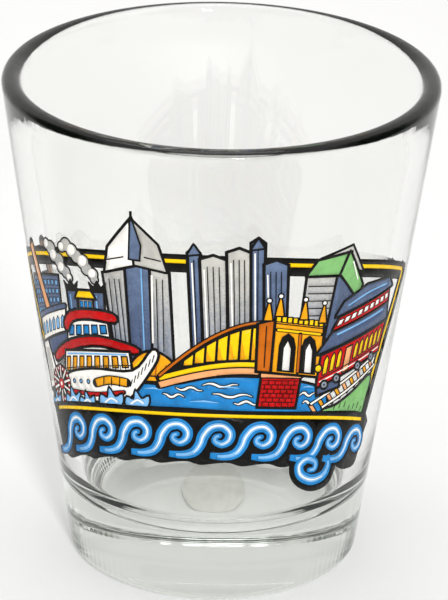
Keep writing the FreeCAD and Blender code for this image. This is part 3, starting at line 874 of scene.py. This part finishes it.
drawFrame()
drawTowers()
drawRiver()
drawHall()
drawBridge()
drawGatehouse()
drawRailcar()
drawRiverboat()
drawWavePanel()
print("picture drawn:", len(sheet), "shapes")


printMiddle = glassHeight - printValues["rimGap"] - printValues["height"] / 2
printFoot = printMiddle - printValues["height"] / 2
printRadius = outerRadius(printMiddle)


def onSheet(points):
    # the outline at its printed size and arched, with long edges divided
    across = printValues["width"] / printValues["sheetWidth"]
    up = printValues["height"] / printValues["sheetHeight"]
    placed = []
    for start, end in zip(points, points[1:] + points[:1]):
        parts = max(1, math.ceil(math.dist(start, end) / 1.5))
        for part in range(parts):
            x, y = between(start, end, part / parts)
            placed.append((x * across, (y - printValues["arch"] * x * x) * up))
    return placed


def holds(outline, x, y):
    # whether the outline goes round this place
    inside = False
    for (startX, startY), (endX, endY) in zip(outline, outline[1:] + outline[:1]):
        if (startY > y) != (endY > y) and x < (endX - startX) * (y - startY) / (endY - startY) + startX:
            inside = not inside
    return inside


def flattened():
    # one flat mosaic: each triangle belongs to the last shape laid over it
    points = []
    faces = []
    outlines = []
    for ink, outline in sheet:
        start = len(points)
        outlines.append(onSheet(outline))
        points += [Vector(point) for point in outlines[-1]]
        faces.append(list(range(start, len(points))))
    edges = []
    half = printValues["width"] / 2 + 2
    columns = int(2 * half / printValues["columnWidth"])
    for number in range(columns + 1):
        x = -half + number * printValues["columnWidth"] + printValues["columnShift"]
        points += [Vector((x, -12.0)), Vector((x, printValues["height"] + 2))]
        edges.append((len(points) - 2, len(points) - 1))
    corners, _, tiles, _, _, owners = delaunay_2d_cdt(points, edges, faces, 1, 1e-4, True)
    tilesByInk = {}
    for tile, owner in zip(tiles, owners):
        middle = sum((corners[corner] for corner in tile), Vector((0, 0))) / len(tile)
        for number in sorted(owner, reverse=True):
            if holds(outlines[number], middle.x, middle.y):
                tilesByInk.setdefault(sheet[number][0], []).append(tuple(tile))
                break
    return corners, tilesByInk


def onWall(point, proud):
    # a place on the flat sheet, rolled on to the wall and lifted off it
    angle = math.radians(270 + printValues["turn"]) + point[0] / printRadius
    height = printFoot + point[1] - math.sin(wallAngle) * proud
    radius = outerRadius(printFoot + point[1]) + math.cos(wallAngle) * proud
    return Vector((radius * math.cos(angle), radius * math.sin(angle), height)) * mm


def inkMesh(name, corners, tiles, proud):
    # a thin closed layer: outer face, inner face and the sides between them
    parent = {}

    def root(item):
        while parent.setdefault(item, item) != item:
            parent[item] = parent[parent[item]]
            item = parent[item]
        return item

    sides = {}
    for number, tile in enumerate(tiles):
        for start, end in zip(tile, tile[1:] + tile[:1]):
            other = sides.get((end, start))
            sides[(start, end)] = number
            if other is not None:
                parent[root(number)] = root(other)
    places = {}
    vertices = []
    faces = []

    def vertex(corner, island, layer):
        key = (corner, island, layer)
        if key not in places:
            places[key] = len(vertices)
            vertices.append(onWall(corners[corner], proud if layer else -printValues["sunk"]))
        return places[key]

    for number, tile in enumerate(tiles):
        island = root(number)
        faces.append([vertex(corner, island, 1) for corner in tile])
        faces.append([vertex(corner, island, 0) for corner in reversed(tile)])
    outerCount = len(faces)
    for (start, end), number in sides.items():
        if (end, start) not in sides:
            island = root(number)
            faces.append([vertex(start, island, 0), vertex(end, island, 0), vertex(end, island, 1),
                          vertex(start, island, 1)])
    mesh = bpy.data.meshes.new(name)
    mesh.from_pydata(vertices, [], faces)
    for number, face in enumerate(mesh.polygons):
        face.use_smooth = number < outerCount
    mesh.update()
    return mesh


inkValues = {                # what each ink looks like, 0 to 255, and how much it wanders
    "black": (12, 11, 10, 0.25),
    "white": (243, 240, 234, 0.05),
    "blue": (32, 124, 190, 0.14),
    "pale_blue": (122, 178, 226, 0.12),
    "yellow": (242, 198, 10, 0.08),
    "amber": (232, 158, 16, 0.12),
    "red": (184, 8, 10, 0.16),
    "light_grey": (184, 182, 175, 0.12),
    "slate": (94, 110, 138, 0.18),
    "green": (122, 176, 108, 0.12),
    "tan": (228, 160, 106, 0.12),
    "brown": (186, 96, 14, 0.14),
}


shadeValues = {              # the two inks that darken towards the foot of a tower, and to what
    "light_grey": (122, 132, 150),
    "slate": (66, 80, 112),
    "from": 30.0,             # millimetres above the picture's foot
    "to": 17.0,
}


def inkMaterial(ink, red, green, blue, wander):
    # fired enamel: slightly mottled, with pinholes and a fine orange peel
    shader = Shader(ink + "Enamel")
    base = paintNumber(red, green, blue)
    deep = tuple(part * (1 - wander * 1.6) for part in base)
    light = tuple(min(1.0, part * (1 + wander) + 0.01 * wander) for part in base)
    mottle = shader.noise(700.0, 4.0) * 0.6 + shader.noise(150.0, 2.0) * 0.4
    grain = shader.noise(3800.0, 2.0)
    colour = shader.ramp(mottle, [(0.32, deep), (0.5, base), (0.68, light)])
    if ink in shadeValues:
        height = shader.node("ShaderNodeSeparateXYZ", {}, {"Vector": shader.place}, "Z")
        high = (printFoot + shadeValues["from"]) * mm
        low = (printFoot + shadeValues["to"]) * mm
        fall = (high - height) * (1 / (high - low)) + (grain - 0.5) * 1.3
        dots = shader.ramp(fall, [(0.15, (0.0,) * 3), (1.0, (0.85,) * 3)])
        colour = shader.mixColors(dots, colour, paintNumber(*shadeValues[ink]))
    pinholes = shader.ramp(grain, [(0.2, (1, 1, 1)), (0.27, (0, 0, 0))])
    speckled = shader.mixColors(pinholes, colour, tuple(part * 0.55 + 0.02 for part in base))
    peel = shader.noise(1500.0, 2.0) + grain * 0.3
    return shader.finish(Base_Color=speckled,
                         Roughness=shader.ramp(mottle, [(0.3, (0.2,) * 3), (0.7, (0.36,) * 3)]),
                         Normal=shader.bump(peel, 0.00001, 0.5), IOR=1.5, Specular_IOR_Level=0.1)


def makeInks():
    corners, tilesByInk = flattened()
    for ink, tiles in sorted(tilesByInk.items()):
        proud = printValues["keylineProud"] if ink == "black" else printValues["proud"]
        piece = newPiece("print_" + ink, inkMesh("print_" + ink, corners, tiles, proud))
        piece.data.materials.append(inkMaterial(ink, *inkValues[ink]))
        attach(piece, "root")
        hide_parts("ink_" + ink)
        ink + "_ink"
        print("ink laid:", ink, len(piece.data.polygons), "faces")


makeInks()


stickerValues = {
    "halfWidth": 3.9,
    "halfLength": 7.5,
    "setback": 3.5,           # its middle, behind the glass's axis
    "thickness": 0.08,
    "glue": 0.015,
    "rings": 14,
    "sides": 72,
}


def domeHeight(radius):
    # the underside's rise at this distance from the middle
    punt = glassValues["puntRadius"]
    depth = glassValues["puntDepth"]
    sphere = (punt ** 2 + depth ** 2) / (2 * depth)
    return math.sqrt(sphere ** 2 - radius ** 2) - (sphere - depth)


def makeSticker(values):
    shape = bmesh.new()
    sides = values["sides"]
    layers = []
    for drop in (values["glue"], values["glue"] + values["thickness"]):
        middle = (0, values["setback"] * mm, (domeHeight(values["setback"]) - drop) * mm)
        rings = [[shape.verts.new(middle)]]
        for ring in range(1, values["rings"] + 1):
            share = ring / values["rings"] * 0.998
            spots = [(share * values["halfWidth"] * math.cos(math.tau * k / sides),
                      values["setback"] + share * values["halfLength"] * math.sin(math.tau * k / sides))
                     for k in range(sides)]
            rings.append([shape.verts.new((x * mm, y * mm, (domeHeight(math.hypot(x, y)) - drop) * mm))
                          for x, y in spots])
        layers.append(rings)
        for k in range(sides):
            after = (k + 1) % sides
            shape.faces.new((rings[0][0], rings[1][k], rings[1][after]))
            for ring in range(1, values["rings"]):
                shape.faces.new((rings[ring][k], rings[ring + 1][k], rings[ring + 1][after],
                                 rings[ring][after]))
    for k in range(values["sides"]):
        after = (k + 1) % values["sides"]
        shape.faces.new((layers[0][-1][k], layers[1][-1][k], layers[1][-1][after], layers[0][-1][after]))
    bmesh.ops.recalc_face_normals(shape, faces=shape.faces)
    mesh = bpy.data.meshes.new("sticker")
    shape.to_mesh(mesh)
    shape.free()
    sticker = newPiece("paper_sticker", mesh)
    shader = Shader("stickerPaper")
    fibres = shader.noise(1400.0, 5.0, (1, 0.35, 1)) * 0.6 + shader.noise(500.0, 3.0) * 0.4
    colour = shader.ramp(fibres, [(0.3, paintNumber(214, 212, 206)), (0.7, paintNumber(240, 239, 235))])
    dullness = shader.ramp(fibres, [(0.3, (0.75,) * 3), (0.7, (0.92,) * 3)])
    mesh.materials.append(shader.finish(Base_Color=colour, Roughness=dullness,
                                        Normal=shader.bump(fibres, 0.00002, 0.6)))
    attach(sticker, "root")
    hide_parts("underside_sticker")
    print("sticker placed")


makeSticker(stickerValues)


stageValues = {
    "tableSize": 4.0,
    "footGap": 0.00008,       # air left under the foot, so that it reflects inside as a dry foot does
    "tableColor": (0.92, 0.92, 0.92),
    "worldColor": (1.0, 0.995, 0.98),
    "worldStrength": 0.78,
    "lights": [               # name, place, width, height, watts
        ("keyLight", (0.20, -1.15, 0.64), 0.16, 0.16, 9.0),
        ("topLight", (-0.1, 0.2, 1.3), 0.8, 0.8, 2.6),
    ],
    "flags": [                # name, place, width, height, shade
        ("leftFlag", (-0.55, 0.0, 0.2), 0.7, 0.9, (0.06, 0.085, 0.055)),
        ("rightFlag", (0.55, 0.0, 0.2), 0.7, 0.9, (0.06, 0.085, 0.055)),
    ],
}


def makeStage(values):
    half = values["tableSize"] / 2
    top = -values["footGap"]
    mesh = bpy.data.meshes.new("table")
    mesh.from_pydata([(-half, -half, top), (half, -half, top), (half, half, top), (-half, half, top)], [],
                     [(0, 1, 2, 3)])
    table = newPiece("table", mesh)
    shader = Shader("paleTable")
    grain = shader.noise(40.0, 3.0)
    colour = shader.ramp(grain, [(0.3, tuple(part * 0.985 for part in values["tableColor"])),
                                 (0.7, values["tableColor"])])
    mesh.materials.append(shader.finish(Base_Color=colour, Roughness=0.7))
    world = bpy.data.worlds.new("studio")
    world.use_nodes = True
    world.node_tree.nodes["Background"].inputs[0].default_value = values["worldColor"] + (1.0,)
    world.node_tree.nodes["Background"].inputs[1].default_value = values["worldStrength"]
    scene.world = world
    scene.view_settings.view_transform = "Standard"


def aim(item, place, target=(0, 0, 0.03)):
    item.location = place
    item.rotation_euler = (Vector(target) - Vector(place)).to_track_quat("-Z", "Y").to_euler()


def softBox(name, place, width, height, power):
    data = bpy.data.lights.new(name, "AREA")
    data.shape = "RECTANGLE"
    data.size = width
    data.size_y = height
    data.energy = power
    light = bpy.data.objects.new(name, data)
    aim(light, place)
    scene.collection.objects.link(light)


def darkFlag(name, place, width, height, shade):
    # a card that only the glass sees, for the dark lines along its edges
    mesh = bpy.data.meshes.new(name)
    mesh.from_pydata([(-width / 2, -height / 2, 0), (width / 2, -height / 2, 0), (width / 2, height / 2, 0),
                      (-width / 2, height / 2, 0)],
                     [], [(0, 1, 2, 3)])
    card = newPiece(name, mesh)
    aim(card, place)
    shader = Shader(name + "Cloth")
    reach = shader.node("ShaderNodeVectorMath", {"operation": "MULTIPLY"},
                        {0: shader.place, 1: (2 / width, 2 / height, 0)})
    spread = shader.node("ShaderNodeVectorMath", {"operation": "LENGTH"}, {0: reach}, "Value")
    cover = shader.ramp(spread, [(0.45, (1.0,) * 3), (1.0, (0.0,) * 3)])
    mesh.materials.append(shader.finish(Base_Color=shade, Roughness=0.9, Alpha=cover))
    card.visible_camera = False
    card.visible_shadow = False
    card.visible_diffuse = False


makeStage(stageValues)
for lightName, place, width, height, power in stageValues["lights"]:
    softBox(lightName, place, width, height, power)
for flagName, place, width, height, shade in stageValues["flags"]:
    darkFlag(flagName, place, width, height, shade)
print("stage lit")
